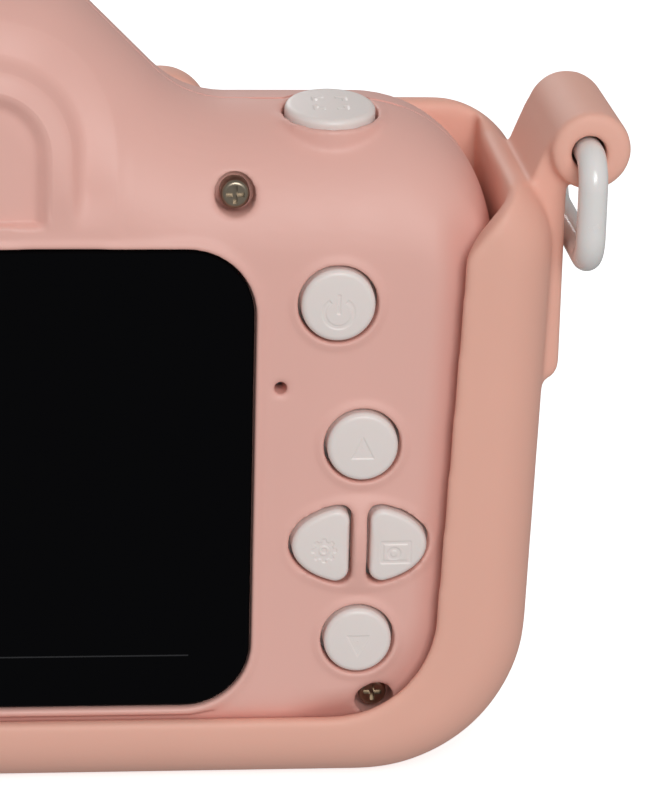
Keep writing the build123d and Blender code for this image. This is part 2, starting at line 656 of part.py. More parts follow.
def flash_board():
    return slab(FLASH_X, FLASH_Z, 7.0, 4.6, 30.2, 31.0)


# ---- Silicone case ------------------------------------------------------------------------------
def case_outline():
    corners = [(-CASE_HALF_FOOT, 0), (CASE_HALF_FOOT, 0), (CASE_HALF_TOP, CASE_TOP_Z), (-CASE_HALF_TOP, CASE_TOP_Z)]
    radii = [CASE_FOOT_RADIUS, CASE_FOOT_RADIUS, CASE_TOP_RADIUS, CASE_TOP_RADIUS]
    return make_face(FilletPolyline(*corners, radius=radii, close=True))


def rear_opening():
    """What the rear lip leaves clear: the whole rear face, widening at the top corners."""
    right = [(LIP_FOOT_X, LIP_FOOT_Z), (LIP_TOP_X, LIP_TOP_Z), (44.0, 53.4), (44.0, 80.0)]
    corners = right + [(-x, z) for x, z in reversed(right)]
    right_radii = [LIP_CORNER, 2.5, 1.0, 0]
    radii = right_radii + right_radii[::-1]
    return make_face(FilletPolyline(*corners, radius=radii, close=True))


def side_lug(side):
    """Strap tube along Y with its web and the rib that runs down the side wall."""
    tube = rod(side * (LUG_X + LUG_SHIFT_X), LUG_Z + LUG_SHIFT_Z, LUG_RADIUS, LUG_REAR, LUG_FRONT)
    tube = fillet(tube.edges().filter_by(GeomType.CIRCLE), 0.6)
    web_corners = [(side * 43.8, 50.6), (side * 46.0, 56.0), (side * LUG_X, LUG_Z), (side * RIB_OUTER_X, 52.0),
                   (side * RIB_OUTER_X, RIB_FOOT_Z), (side * 44.4, RIB_FOOT_Z - 0.6)]
    outline = make_face(FilletPolyline(*web_corners, radius=[0.5, 0.8, 0.3, 0.3, 1.6, 0.5], close=True))
    return tube + prism(outline, WEB_REAR, LUG_FRONT - 0.15)


def top_trim():
    """Room above the case: the side walls stop at the rim, the front wall rises a little further."""
    profile = Polyline((REAR_Y - 6, CASE_RIM_Z), (REAR_Y + 18.5, CASE_RIM_Z), (REAR_Y + 23.0, CASE_TOP_Z + 0.1),
                       (REAR_Y + 30, CASE_TOP_Z + 0.1), (REAR_Y + 30, 90), (REAR_Y - 6, 90), close=True)
    return extrude(Plane.YZ * make_face(profile), amount=60, both=True)


def silicone_case():
    block = prism(case_outline(), CASE_REAR, CASE_FRONT)
    faces = block.faces().sort_by(Axis.Y)
    block = fillet(faces[0].edges(), CASE_LIP_ROUND)
    block = fillet(block.faces().sort_by(Axis.Y)[-1].edges(), CASE_FRONT_ROUND)
    block -= top_trim()
    for side in (-1, 1):
        block += drum(side * EAR_X, EAR_Z, EAR_RADIUS, CASE_FRONT_INNER, EAR_FRONT, 1.2)
    block += drum(0, LENS_Z, LENS_COLLAR_RADIUS, CASE_FRONT_INNER, CASE_FRONT + LENS_COLLAR_RISE, 0.5)
    block -= [rear_block(-CASE_FIT), front_block(-CASE_FIT)]
    upper_room = slab(0, 64.0, 84.5, 40.0, 1.5, CASE_FRONT_INNER)
    block -= [upper_room, prism(rear_opening(), -5, 1.6)]
    block += [side_lug(-1), side_lug(1)]
    port_depth = (CARD_DEPTH + BOARD_DEPTH + BOARD_T + USB_T) / 2 + 0.2
    cuts = [
        rod(0, LENS_Z, TRIM_RADIUS + 0.4, 18, 30),
        Pos(*from_depth(-44, port_depth, PORT_Z)) * Box(10, 9.4, 15.5),
    ]
    cuts += grille(18, 30, GRILLE_HOLE_RADIUS + 0.35)
    for side in (-1, 1):
        cuts.append(rod(side * LUG_X, LUG_Z, LUG_BORE_RADIUS, 0, 20))
    return block - cuts


def strap_ring(side):
    """Closed loop of round bar: through the lug, round both its ends and under it."""
    rear = REAR_Y + LUG_REAR - RING_OVERHANG
    front = REAR_Y + LUG_FRONT + RING_OVERHANG
    x = side * LUG_X
    path = FilletPolyline((x, front, LUG_Z), (x, rear, LUG_Z), (x, rear, RING_LOW_Z),
                          (x, front, RING_LOW_Z), radius=RING_BEND, close=True)
    start = Plane(origin=path @ 0, x_dir=(1, 0, 0), z_dir=path % 0)
    return sweep(start * Circle(RING_WIRE), path=path)


# ---- Assembly -----------------------------------------------------------------------------------
def build_parts():
    PARTS["rear_shell"] = rear_shell()
    PARTS["front_shell"] = front_shell()
    PARTS["silicone_case"] = silicone_case()
    PARTS["screen_window"] = screen_window()
    PARTS["window_tape"] = window_tape()
    PARTS["lcd_gasket"] = lcd_gasket()
    PARTS["lcd_panel"] = lcd_panel()
    PARTS["lcd_backlight"] = lcd_backlight()
    PARTS["lcd_ribbon"] = lcd_ribbon()
    rear_buttons()
    PARTS["shutter_button"] = shutter_button()
    PARTS["shutter_switch_plunger"] = shutter_disc(PLUNGER_RADIUS, -6.0 - PLUNGER_LENGTH, -6.0)
    PARTS["shutter_switch"] = shutter_switch()
    PARTS["shutter_board"] = shutter_board()
    PARTS["main_board"] = main_board()
    PARTS["image_processor"] = chip(14.0, 22.0, 10.0, 10.0, 1.0)
    PARTS["memory_chip"] = chip(28.5, 33.5, 8.0, 6.0, 1.0)
    PARTS["power_chip"] = chip(1.5, 35.5, 4.0, 4.0, 0.9)
    PARTS["battery_connector"] = connector(4.0, 44.3)
    PARTS["speaker_connector"] = connector(10.0, 37.2)
    PARTS["usb_socket"] = usb_socket()
    PARTS["card_socket"] = card_socket()
    PARTS["memory_card"] = memory_card()
    PARTS["battery"] = battery()
    PARTS["battery_pad"] = slab(BATTERY_X, BATTERY_Z, 20.0, 24.0, BOARD_DEPTH + BOARD_T,
                                BOARD_DEPTH + BOARD_T + 0.5)
    PARTS["battery_leads"] = battery_leads()
    PARTS["speaker"] = speaker()
    PARTS["speaker_cone"] = speaker_cone()
    PARTS["speaker_leads"] = speaker_leads()
    PARTS["microphone"] = rod(MIC_X, MIC_Z, 2.0, 3.0, 4.6)
    PARTS["mic_boot"] = rod(MIC_X, MIC_Z, 2.6, 2.9, 4.9) - rod(MIC_X, MIC_Z, 2.0, 2, 6)
    PARTS["lens_barrel"] = lens_barrel()
    PARTS["lens_trim_ring"] = lens_trim_ring()
    PARTS["lens_bezel"] = lens_bezel()
    PARTS["lens_window"] = lens_window()
    PARTS["lens_carrier"] = lens_carrier()
    PARTS["camera_board"] = camera_board()
    PARTS["camera_ribbon"] = camera_ribbon()
    PARTS["image_sensor"] = image_sensor()
    PARTS["camera_holder"] = camera_holder()
    PARTS["lens_cell"] = lens_cell()
    PARTS["objective_lens"] = objective_lens()
    PARTS["flash_board"] = flash_board()
    PARTS["flash_led"] = flash_led()
    PARTS["flash_window"] = flash_window()
    PARTS["left_strap_ring"] = strap_ring(-1)
    PARTS["right_strap_ring"] = strap_ring(1)
    PARTS["housing_screws"] = Compound(children=[housing_screw(*screw) for screw in HOUSING_SCREWS])
    PARTS["board_screws"] = Compound(children=[board_screw(x, z) for x, z in BOARD_SCREWS])


build_parts()
os.makedirs("parts", exist_ok=True)
for node_name, shape in PARTS.items():
    export_step(shape, "parts/" + node_name + ".step")
    print(node_name, round(shape.volume, 2), shape.is_valid)
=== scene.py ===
import json
import math

import bmesh
import bpy
import numpy as np
from mathutils import Matrix, Vector
from mathutils.bvhtree import BVHTree

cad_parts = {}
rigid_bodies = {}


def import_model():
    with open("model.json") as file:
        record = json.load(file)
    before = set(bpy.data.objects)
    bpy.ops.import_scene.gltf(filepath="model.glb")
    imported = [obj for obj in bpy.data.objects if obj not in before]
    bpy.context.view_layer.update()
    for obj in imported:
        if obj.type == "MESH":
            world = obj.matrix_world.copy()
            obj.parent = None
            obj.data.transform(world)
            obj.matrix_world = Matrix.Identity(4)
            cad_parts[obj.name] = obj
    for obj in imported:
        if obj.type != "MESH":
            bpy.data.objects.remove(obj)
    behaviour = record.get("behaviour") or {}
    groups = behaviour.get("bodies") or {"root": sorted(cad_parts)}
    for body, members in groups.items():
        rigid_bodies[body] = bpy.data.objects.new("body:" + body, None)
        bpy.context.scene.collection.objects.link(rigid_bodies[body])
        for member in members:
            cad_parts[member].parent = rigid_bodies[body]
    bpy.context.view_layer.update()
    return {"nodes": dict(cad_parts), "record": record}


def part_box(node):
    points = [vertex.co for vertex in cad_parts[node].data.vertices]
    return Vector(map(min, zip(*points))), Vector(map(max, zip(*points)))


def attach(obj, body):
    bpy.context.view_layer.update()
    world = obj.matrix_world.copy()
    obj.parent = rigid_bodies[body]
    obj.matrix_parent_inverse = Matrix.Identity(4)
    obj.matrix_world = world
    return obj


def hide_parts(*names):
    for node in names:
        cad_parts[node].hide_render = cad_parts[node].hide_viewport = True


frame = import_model()

# Children's camera in a silicone case. The frame is in metres; MM turns millimetres into metres.
# X runs to the right seen from behind, Y forward to the lens, Z up. The rear face lies at REAR_Y.
MM = 0.001
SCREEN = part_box("screen_window")
REAR_Y = SCREEN[0].y - 0.1 * MM

# View: where the eye is, and how it is turned
EYE = Vector((0.0, REAR_Y - 284.2 * MM, 130.4 * MM))
YAW, PITCH, ROLL = 5.58, 18.62, 1.4        # degrees
LENS_LENGTH = 165.1                         # for a 36 mm wide sensor on the long side
NEAREST, FARTHEST = 0.01, 30.0              # metres the view reaches from and to

# Light: two round lamps, a nearly even sky and a floor that glows a little; places are in metres
LAMPS = {"key": ((0.16, -0.95, 0.5), 5.95), "far": ((-0.2, 0.95, 0.55), 2.6)}   # place, power in watts
LAMP_TARGET, LAMP_SIZE = (0, 0, 0.03), 0.6
SKY_LOW, SKY_HIGH, SKY_FOOT = 0.35, 0.36, -0.2
FLOOR_GLOW = 0.6                            # lifts the floor to plain white
FLOOR_REACH = 12.0

# Details of the CAD parts, in millimetres: depth is measured forward from the rear face
ARCH_RADIUS, ARCH_SPRING_Z, ARCH_FOOT_Z = 6.1, 54.8, 49.2
ARCH_PROFILE = [(-2.4, 0.75), (-2.1, 0.7), (-1.2, -0.08), (-0.8, -0.25), (0.4, -0.25), (0.8, -0.12),
                (1.45, 0.5), (1.9, 0.62), (2.9, 0.4), (4.4, 0.0)]   # distance from its middle line, depth
CREST_FOOT_Z, CREST_FADE = 48.4, 3.6
ARCH_REACH, ARCH_BLEND = 4.4, 1.5           # how far the arch's own profile counts, and its fade
ARCH_ZONE_X, ARCH_ZONE_Z = 10.5, 47.6       # the arch and its valley lie within and above these
SKIN = 1.35                                 # points nearer than this to the face's surface are its skin
HUMP_RADIUS, HUMP_CENTRE_Z, HUMP_CORNER_Z, SHOULDER_Z, TOP_FALL = 11.8, 56.7, 73.4, 57.0, 11.0
LIP_FOOT_X, LIP_TOP_X, LIP_LOW_Z, LIP_HIGH_Z, LIP_CORNER = 36.9, 38.8, 6.05, 46.6, 9.0
FALL_WIDTH, FALL_DEPTH = 3.4, 1.0
SHUTTER = (28.2, 8.0)                       # across and depth of the shutter's collar
SHUTTER_RIM_Z, SHUTTER_LEAN = 56.65, 8.0
SHUTTER_LEVELS = (0.65, -3.4, -4.0, -6.0)   # cap face, flange and stem end above the collar's rim
SHUTTER_FLANGE_GROW = 0.75
SCREWS = [(side * x, z) for side in (-1, 1) for x, z in ((20.07, 51.2), (32.5, 7.0))]
SCREEN_LINE_Z, SCREEN_LINE_END, SCREEN_LINE_HALF = 11.65, 16.6, 0.06
LUG = (48.9, 54.6)                          # across and height of a strap bore's middle
RIB_ROOT_X = 45.0
GRILLE = (29.8, 25.0)
CASE_FRONT = 24.8
PAIR_STEM_X = {"menu_button": 28.2, "mode_button": 33.3}
FLANGE_TOP, FLANGE_FOOT, FLANGE_GROW = 1.95, 2.55, 0.5
STEM_RADIUS = 1.3
CAP_ROUND, SHUTTER_ROUND = 0.45, 0.4        # rim rounding of the caps in the CAD parts
RIM_ROUND, RIM_STEPS, CROWN = 0.5, 7, 0.08
MARK_DEPTH, MARK_EDGE = 0.06, 0.14
BUTTON_SPOKES, BUTTON_RINGS = 192, 56
SIDE_TOLERANCE = 0.02                       # height band in which a CAD cap's side outline is read

# Remeshing and smoothing of the two moulded pieces, in millimetres and passes
SHELL_VOXEL, CASE_VOXEL, QUICK_COARSENING = 0.18, 0.24, 1.8
WELD_DISTANCE = 0.002
TRIANGLE_LIMIT = 190000
STEP_PASSES, STEP_PUSH_IN, STEP_PUSH_OUT = 16, 0.5, -0.53
EDGE_PASSES = 24
WALL_SLANT, WALL_FRONT = 0.2, 3.0           # a wall runs nearly along the depth, and starts this near
WALL_DEPTHS, WALL_REACH = (0.25, 1.3), 0.3  # where a wall's vertices lie below the face, how near the wall
RIM_TOP, RIM_DEPTH, RIM_REACH, RIM_WEIGHT, RIM_PASSES = -0.8, 6, 0.9, 0.4, 14
VALLEY_WEIGHT, VALLEY_PASSES = 0.4, 6

# Surface finish shared by the moulded materials
GRAIN_SIZE, GRAIN_DEPTH = 0.25, 0.02        # millimetres
DRIFT_SCALE, GLOSS_SCALE = 60.0, 350.0      # per metre

nodes = frame["nodes"]


# ---- Small helpers ----------------------------------------------------------------------------
def new_material(name):
    """An empty node material with its output and a Principled shader."""
    material = bpy.data.materials.new(name)
    material.use_nodes = True
    tree = material.node_tree
    tree.nodes.clear()
    output = tree.nodes.new("ShaderNodeOutputMaterial")
    shader = tree.nodes.new("ShaderNodeBsdfPrincipled")
    tree.links.new(shader.outputs["BSDF"], output.inputs["Surface"])
    return material, tree, shader


def add_noise(tree, scale, detail):
    """Noise in the object's own space, so it stays with the piece."""
    coordinates = tree.nodes.new("ShaderNodeTexCoord")
    noise = tree.nodes.new("ShaderNodeTexNoise")
    noise.inputs["Scale"].default_value = scale
    noise.inputs["Detail"].default_value = detail
    tree.links.new(coordinates.outputs["Object"], noise.inputs["Vector"])
    return noise.outputs["Fac"]


def spread_value(tree, value, low, high):
    """Maps a 0 to 1 value onto low to high."""
    node = tree.nodes.new("ShaderNodeMapRange")
    node.inputs["To Min"].default_value = low
    node.inputs["To Max"].default_value = high
    tree.links.new(value, node.inputs["Value"])
    return node.outputs["Result"]


def mix_colours(tree, factor, first, second):
    """Blends two colours by a 0 to 1 value."""
    node = tree.nodes.new("ShaderNodeMix")
    node.data_type = "RGBA"
    node.inputs["A"].default_value = (*first, 1.0)
    node.inputs["B"].default_value = (*second, 1.0)
    tree.links.new(factor, node.inputs["Factor"])
    return node.outputs["Result"]


def add_bump(tree, shader, height, strength, distance):
    """Lets a height value tilt the shader's normal."""
    bump = tree.nodes.new("ShaderNodeBump")
    bump.inputs["Strength"].default_value = strength
    bump.inputs["Distance"].default_value = distance
    tree.links.new(height, bump.inputs["Height"])
    tree.links.new(bump.outputs["Normal"], shader.inputs["Normal"])


def moulded(name, colour, rough, grain=0.04, shift=0.04, soft=0.0, coat=0.0, metal=0.0):
    """Moulded plastic, rubber or metal: slight colour drift, uneven gloss and a fine grain."""
    material, tree, shader = new_material(name)
    darker = tuple(c * (1 - shift) for c in colour)
    lighter = tuple(min(1.0, c * (1 + shift)) for c in colour)
    drift = add_noise(tree, DRIFT_SCALE, 2.0)
    tree.links.new(mix_colours(tree, drift, darker, lighter), shader.inputs["Base Color"])
    gloss = add_noise(tree, GLOSS_SCALE, 4.0)
    tree.links.new(spread_value(tree, gloss, rough - 0.05, rough + 0.06), shader.inputs["Roughness"])
    add_bump(tree, shader, add_noise(tree, 1.0 / (GRAIN_SIZE * MM), 2.0), grain, GRAIN_DEPTH * MM)
    shader.inputs["Metallic"].default_value = metal
    shader.inputs["Coat Weight"].default_value = coat
    shader.inputs["Coat Roughness"].default_value = 0.12
    if soft:
        shader.inputs["Subsurface Weight"].default_value = soft
        shader.inputs["Subsurface Radius"].default_value = (1.0, 0.45, 0.35)
        shader.inputs["Subsurface Scale"].default_value = 1.2 * MM
    return material


def mark_display_edge(material):
    """Faint line where the lower edge of the display shows through the black glass."""
    tree = material.node_tree
    shader = tree.nodes["Principled BSDF"]
    coordinates = tree.nodes.new("ShaderNodeTexCoord")
    split = tree.nodes.new("ShaderNodeSeparateXYZ")
    line = tree.nodes.new("ShaderNodeMath")
    line.operation = "COMPARE"
    line.inputs[1].default_value = SCREEN_LINE_Z * MM
    line.inputs[2].default_value = SCREEN_LINE_HALF * MM
    end = tree.nodes.new("ShaderNodeMath")
    end.operation = "LESS_THAN"
    end.inputs[1].default_value = SCREEN_LINE_END * MM
    both = tree.nodes.new("ShaderNodeMath")
    both.operation = "MULTIPLY"
    tree.links.new(coordinates.outputs["Object"], split.inputs["Vector"])
    tree.links.new(split.outputs["Z"], line.inputs[0])
    tree.links.new(split.outputs["X"], end.inputs[0])
    tree.links.new(line.outputs["Value"], both.inputs[0])
    tree.links.new(end.outputs["Value"], both.inputs[1])
    base = shader.inputs["Base Color"].links[0].from_socket
    blend = tree.nodes.new("ShaderNodeMix")
    blend.data_type = "RGBA"
    blend.inputs["B"].default_value = (0.03, 0.03, 0.032, 1.0)
    tree.links.new(both.outputs["Value"], blend.inputs["Factor"])
    tree.links.new(base, blend.inputs["A"])
    tree.links.new(blend.outputs["Result"], shader.inputs["Base Color"])


def dress(piece, material):
    """Gives every slot of a piece the same material."""
    mesh = piece.data
    if not mesh.materials:
        mesh.materials.append(None)
    for slot in piece.material_slots:
        slot.material = material


# ---- Materials --------------------------------------------------------------------------------
PINK = (0.83, 0.465, 0.40)
SALMON = (0.86, 0.46, 0.36)
BUTTON_WHITE = (0.84, 0.755, 0.72)

shell_plastic = moulded("shell_plastic", PINK, 0.5, soft=0.04)
silicone = moulded("silicone", SALMON, 0.58, grain=0.06, soft=0.08)
button_plastic = moulded("button_plastic", BUTTON_WHITE, 0.36, soft=0.1, shift=0.02)
ring_plastic = moulded("ring_plastic", (0.83, 0.80, 0.78), 0.25, coat=0.4, soft=0.15, shift=0.02)
black_glass = moulded("black_glass", (0.002, 0.002, 0.0025), 0.09, grain=0.0)
black_glass.node_tree.nodes["Principled BSDF"].inputs["IOR"].default_value = 1.12
mark_display_edge(black_glass)
lens_glass = moulded("lens_glass", (0.006, 0.008, 0.014), 0.08, grain=0.0, coat=1.0)
dark_plastic = moulded("dark_plastic", (0.02, 0.02, 0.022), 0.4)
foam = moulded("foam", (0.03, 0.03, 0.03), 0.85)
steel = moulded("steel", (0.6, 0.6, 0.6), 0.3, metal=1.0)
screw_steel = moulded("screw_steel", (0.3, 0.25, 0.19), 0.3, metal=1.0)
board_green = moulded("board_green", (0.02, 0.16, 0.06), 0.35, coat=0.5)
white_plastic = moulded("white_plastic", (0.8, 0.78, 0.76), 0.35)

SLOT_MATERIALS = {
    "shell": shell_plastic, "silicone": silicone, "black_glass": black_glass, "black_foam": foam,
    "lcd_glass": black_glass, "white_plastic": white_plastic, "flex_film": dark_plastic,
    "white_button": button_plastic, "black_plastic": dark_plastic, "circuit_board": board_green,
    "sensor_glass": black_glass, "plated_steel": steel, "battery_foil": steel,
    "lead_insulation": dark_plastic, "speaker_paper": dark_plastic, "clear_glass": lens_glass,
    "led_phosphor": white_plastic, "white_ring": ring_plastic, "screw_steel": screw_steel,
}


def dress_cad_nodes():
    """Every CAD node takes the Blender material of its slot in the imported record."""
    for part in frame["record"]["subparts"]:
        piece = nodes[part["node"]]
        dress(piece, SLOT_MATERIALS[part["material_slot"]])


# ---- Mesh tools -------------------------------------------------------------------------------
def new_piece(name, vertices, faces, material, body):
    """A smooth-shaded mesh piece that rides on a body and wears the material it is given."""
    mesh = bpy.data.meshes.new(name)
    mesh.from_pydata(vertices, [], faces)
    mesh.validate()
    mesh.shade_smooth()
    piece = bpy.data.objects.new(name, mesh)
    bpy.context.collection.objects.link(piece)
    dress(piece, material)
    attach(piece, body)
    return piece


def place_of(mesh):
    """Vertex places of a mesh as an array, one row each."""
    places = np.empty(len(mesh.vertices) * 3)
    mesh.vertices.foreach_get("co", places)
    return places.reshape(-1, 3)


def body_of_node(node):
    """The moving body that a CAD node belongs to."""
    return nodes[node].parent.name.removeprefix("body:")


def relax(places, edges, weight, passes):
    """Moves each vertex towards the middle of its neighbours, pass after pass.

    weight: one share for all vertices, or one each; a negative share pushes away."""
    count = len(places)
    first, second = edges[:, 0], edges[:, 1]
    degree = np.bincount(edges.ravel(), minlength=count).clip(1)
    for _ in range(passes):
        for axis in range(3):
            column = places[:, axis]
            total = np.bincount(first, column[second], count) + np.bincount(second, column[first], count)
            column += weight * (total / degree - column)


def smooth_steps(places, edges, passes):
    """Takes out the remesh's stair steps without shrinking the form: a push in, then a push back out."""
    for _ in range(passes):
        relax(places, edges, STEP_PUSH_IN, 1)
        relax(places, edges, STEP_PUSH_OUT, 1)


def true_openings(places, edges, node):
    """Sets the sides of the openings back on the CAD part's walls, and rounds their rims evenly."""
    mesh = nodes[node].data
    corners = to_local(place_of(mesh))
    mesh.calc_loop_triangles()
    walls = [t.vertices[:] for t in mesh.loop_triangles
             if abs(t.normal.y) < WALL_SLANT and corners[list(t.vertices), 1].min() < WALL_FRONT]
    tree = BVHTree.FromPolygons(corners.tolist(), walls)
    x, depth, z = places.T
    sunk = depth - face_depth(x, z)
    by_arch = (np.abs(x) < ARCH_ZONE_X) & (z > ARCH_ZONE_Z)
    in_band = (sunk > RIM_TOP) & (sunk < WALL_DEPTHS[1]) & (depth < RIM_DEPTH)
    weight = np.zeros(len(places))
    for i in np.nonzero(in_band & ~by_arch)[0]:
        spot, _, _, distance = tree.find_nearest(places[i], RIM_REACH)
        if spot is None:
            continue
        if sunk[i] > WALL_DEPTHS[0]:
            if distance < WALL_REACH:
                places[i, 0], places[i, 2] = spot.x, spot.z
        else:
            weight[i] = RIM_WEIGHT * min(1.0, 2 * (1 - distance / RIM_REACH))
    relax(places, edges, weight, RIM_PASSES)


def apply_modifiers(piece):
    """Replaces a piece's mesh by what its modifiers make of it."""
    seen = piece.evaluated_get(bpy.context.evaluated_depsgraph_get())
    mesh = bpy.data.meshes.new_from_object(seen)
    piece.modifiers.clear()
    piece.data = mesh


def softened(node, name, voxel, weigh, shape, material):
    """A moulded copy of a CAD shell: evenly remeshed, its edges relaxed, its details shaped, then thinned.

    weigh: how much each point is rounded. shape: what is done to the points after that."""
    mesh = nodes[node].data.copy()
    soup = bmesh.new()
    soup.from_mesh(mesh)
    bmesh.ops.remove_doubles(soup, verts=soup.verts, dist=WELD_DISTANCE * MM)
    soup.to_mesh(mesh)
    soup.free()
    piece = bpy.data.objects.new(name, mesh)
    bpy.context.collection.objects.link(piece)
    remesh = piece.modifiers.new("remesh", "REMESH")
    remesh.mode = "VOXEL"
    remesh.voxel_size = voxel * 1 * MM
    apply_modifiers(piece)
    mesh = piece.data
    places = place_of(mesh)
    edges = np.empty(len(mesh.edges) * 2, dtype=np.int64)
    mesh.edges.foreach_get("vertices", edges)
    edges = edges.reshape(-1, 2)
    local = to_local(places)
    smooth_steps(local, edges, STEP_PASSES)
    relax(local, edges, weigh(local), EDGE_PASSES)
    shape(local, edges)
    mesh.vertices.foreach_set("co", from_local(local).ravel())
    mesh.update()
    faces = 2 * len(mesh.polygons)
    if faces > TRIANGLE_LIMIT:
        thin = piece.modifiers.new("thin", "DECIMATE")
        thin.ratio = TRIANGLE_LIMIT / faces
        apply_modifiers(piece)
    piece.data.shade_smooth()
    dress(piece, material)
    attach(piece, body_of_node(node))
    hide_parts(node)
    return piece


def to_local(places):
    """Metres in the frame to millimetres: across, depth from the rear face, height."""
    return (places - np.array([0.0, REAR_Y, 0.0])) / MM


def from_local(local):
    """The way back from to_local."""
    return local * MM + np.array([0.0, REAR_Y, 0.0])


def near(distance, radius, fade):
    """1 inside the radius, falling smoothly to 0 over the fade beyond it."""
    t = np.clip((radius + fade - distance) / fade, 0.0, 1.0)
    return t * t * (3 - 2 * t)


# ---- Rear shell -------------------------------------------------------------------------------
def arch_distance(x, z):
    """Distance from the middle line of the eyepiece arch, positive outside it."""
    across = np.abs(x)
    straight = across - ARCH_RADIUS
    curved = np.hypot(x, z - ARCH_SPRING_Z) - ARCH_RADIUS
    return np.where(z > ARCH_SPRING_Z, curved, straight)


def weigh_rear_shell(p):
    """Light rounding everywhere, and soft blends at the arch, the collar and the screw recesses."""
    x, depth, z = p.T
    weight = np.full(len(p), 0.05)
    rear = near(depth, 2.5, 1.5)
    reach = np.maximum(np.abs(arch_distance(x, z)), ARCH_FOOT_Z - z)
    weight = np.maximum(weight, 0.3 * near(reach, 2.6, 1.5) * rear)
    shutter = np.hypot(x - SHUTTER[0], depth - SHUTTER[1])
    weight = np.maximum(weight, 0.4 * near(shutter, 6.2, 1.5) * near(SHUTTER_RIM_Z - z, 3.5, 1.0)
                        * (1 - near(shutter, 4.0, 0.3)))
    for screw_x, screw_z in SCREWS:
        weight = np.maximum(weight, 0.07 * near(np.hypot(x - screw_x, z - screw_z), 2.3, 0.5) * rear)
    return weight


def lip_distance(x, z):
    """Distance in from the edge of the case's lip, over the visible rear face."""
    half_width = LIP_FOOT_X + (LIP_TOP_X - LIP_FOOT_X) * (z - LIP_LOW_Z) / (LIP_HIGH_Z - LIP_LOW_Z)
    u = np.abs(x) - (half_width - LIP_CORNER)
    v = LIP_LOW_Z + LIP_CORNER - z
    return LIP_CORNER - np.hypot(u.clip(0), v.clip(0)) - np.minimum(np.maximum(u, v), 0)


def face_depth(x, z):
    """Depth of the plain rear face, which falls away towards the hump's edge."""
    across = np.abs(x)
    round_top = HUMP_RADIUS - np.hypot(x, z - HUMP_CENTRE_Z)
    flank = (HUMP_CORNER_Z - z - across) / math.sqrt(2)
    edge = np.where(z - HUMP_CENTRE_Z > across, round_top, np.maximum(flank, SHOULDER_Z - z))
    return TOP_FALL * (1 - np.sqrt(1 - (1 - edge / TOP_FALL).clip(0, 1) ** 2))


def shape_arch(p):
    """Rounded rib round the eyepiece's sunk panel, with a soft valley outside it."""
    x, depth, z = p.T
    distance = arch_distance(x, z)
    base = face_depth(x, z)
    offsets, levels = np.array(ARCH_PROFILE).T
    level = np.interp(distance, offsets, levels)
    foot = near(CREST_FOOT_Z + CREST_FADE - z, 0.0, CREST_FADE)
    crest = level * foot
    panel = np.where(distance < -1.0, level * near(ARCH_FOOT_Z - z, 0.0, 0.35), crest)
    share = near(distance, ARCH_REACH, ARCH_BLEND) * near(CREST_FOOT_Z - z, 0.0, 1.0)
    share = share * (depth < base + SKIN)
    depth += share * (base + panel - depth)


def shape_rear_shell(p, edges):
    """True openings, the arch's own profile, and a face that falls away under the case's lip."""
    true_openings(p, edges, "rear_shell")
    shape_arch(p)
    x, depth, z = p.T
    around = near(np.abs(arch_distance(x, z)), 3.0, 1.5) * near(depth, 6.0, 2.0)
    around = around * near(ARCH_ZONE_Z - z, 0.0, 0.8)
    relax(p, edges, VALLEY_WEIGHT * around, VALLEY_PASSES)
    fall = near(lip_distance(x, z), -FALL_WIDTH * 0.25, FALL_WIDTH) * near(30.0 - np.abs(x), 0.0, 6.0)
    depth += FALL_DEPTH * fall * near(depth, 0.4, 3.2) * near(z, 47.0, 6.0)


def keep_shape(p, edges):
    """No further shaping."""


# ---- Silicone case ----------------------------------------------------------------------------
def weigh_case(p):
    """Generous rounding, held back round the strap bores, beyond the rib's root and in the grille."""
    x, depth, z = p.T
    weight = np.full(len(p), 0.5)
    bore = np.hypot(np.abs(x) - LUG[0], z - LUG[1])
    held = [
        0.28 * near(bore, 4.5, 1.0),
        0.44 * near(bore, 1.9, 0.4),
        0.25 * near(RIB_ROOT_X - np.abs(x), 0.0, 1.0),
    ]
    weight -= np.maximum.reduce(held)
    grille = np.hypot(x - GRILLE[0], z - GRILLE[1])
    weight -= 0.38 * near(grille, 5.2, 0.8) * near(CASE_FRONT - depth, 4.0, 1.0)
    return weight


# ---- Buttons ----------------------------------------------------------------------------------
# Each mark gives the distance to its edge, negative inside it. u runs across the cap from its middle and v
# up it, in millimetres.
def stroke(distance, half_width):
    """A line of the given half width along a distance of 0."""
    return np.abs(distance) - half_width


def box_distance(u, v, half_u, half_v):
    """Distance from a rectangle round the origin, negative inside it."""
    du, dv = np.abs(u) - half_u, np.abs(v) - half_v
    return np.hypot(du.clip(0), dv.clip(0)) + np.minimum(np.maximum(du, dv), 0)


def power_mark(u, v):
    """Open circle with an upright bar."""
    v = v + 0.6
    circle = stroke(np.hypot(u, v) - 1.2, 0.1)
    opening = np.abs(u) - np.maximum(v, 0) * 0.75
    circle = np.where(v > 0, np.maximum(circle, -opening), circle)
    return np.minimum(circle, box_distance(u, v - 0.75, 0.09, 0.75))


def triangle_mark(u, v, way):
    """Solid triangle pointing up (way 1) or down (way -1)."""
    v = way * (v + 0.25)
    return np.maximum(-v - 0.65, (v + 2.0 * np.abs(u) - 1.0) / math.sqrt(5.0))


def gear_mark(u, v):
    """Toothed wheel with a raised hub and a pin in the middle."""
    u, v = u + 0.43, v + 0.36
    radius, angle = np.hypot(u, v), np.arctan2(v, u)
    wheel = radius - 0.86 - 0.13 * np.tanh(4 * np.cos(8 * angle))
    return np.minimum(np.maximum(wheel, 0.5 - radius), radius - 0.16)


def picture_mark(u, v):
    """Picture frame with a round subject in it."""
    u, v = u - 0.48, v + 0.57
    outline = stroke(box_distance(u, v, 1.15, 0.85), 0.08)
    subject = stroke(np.hypot(u + 0.15, v + 0.1) - 0.42, 0.08)
    return np.minimum(outline, subject)


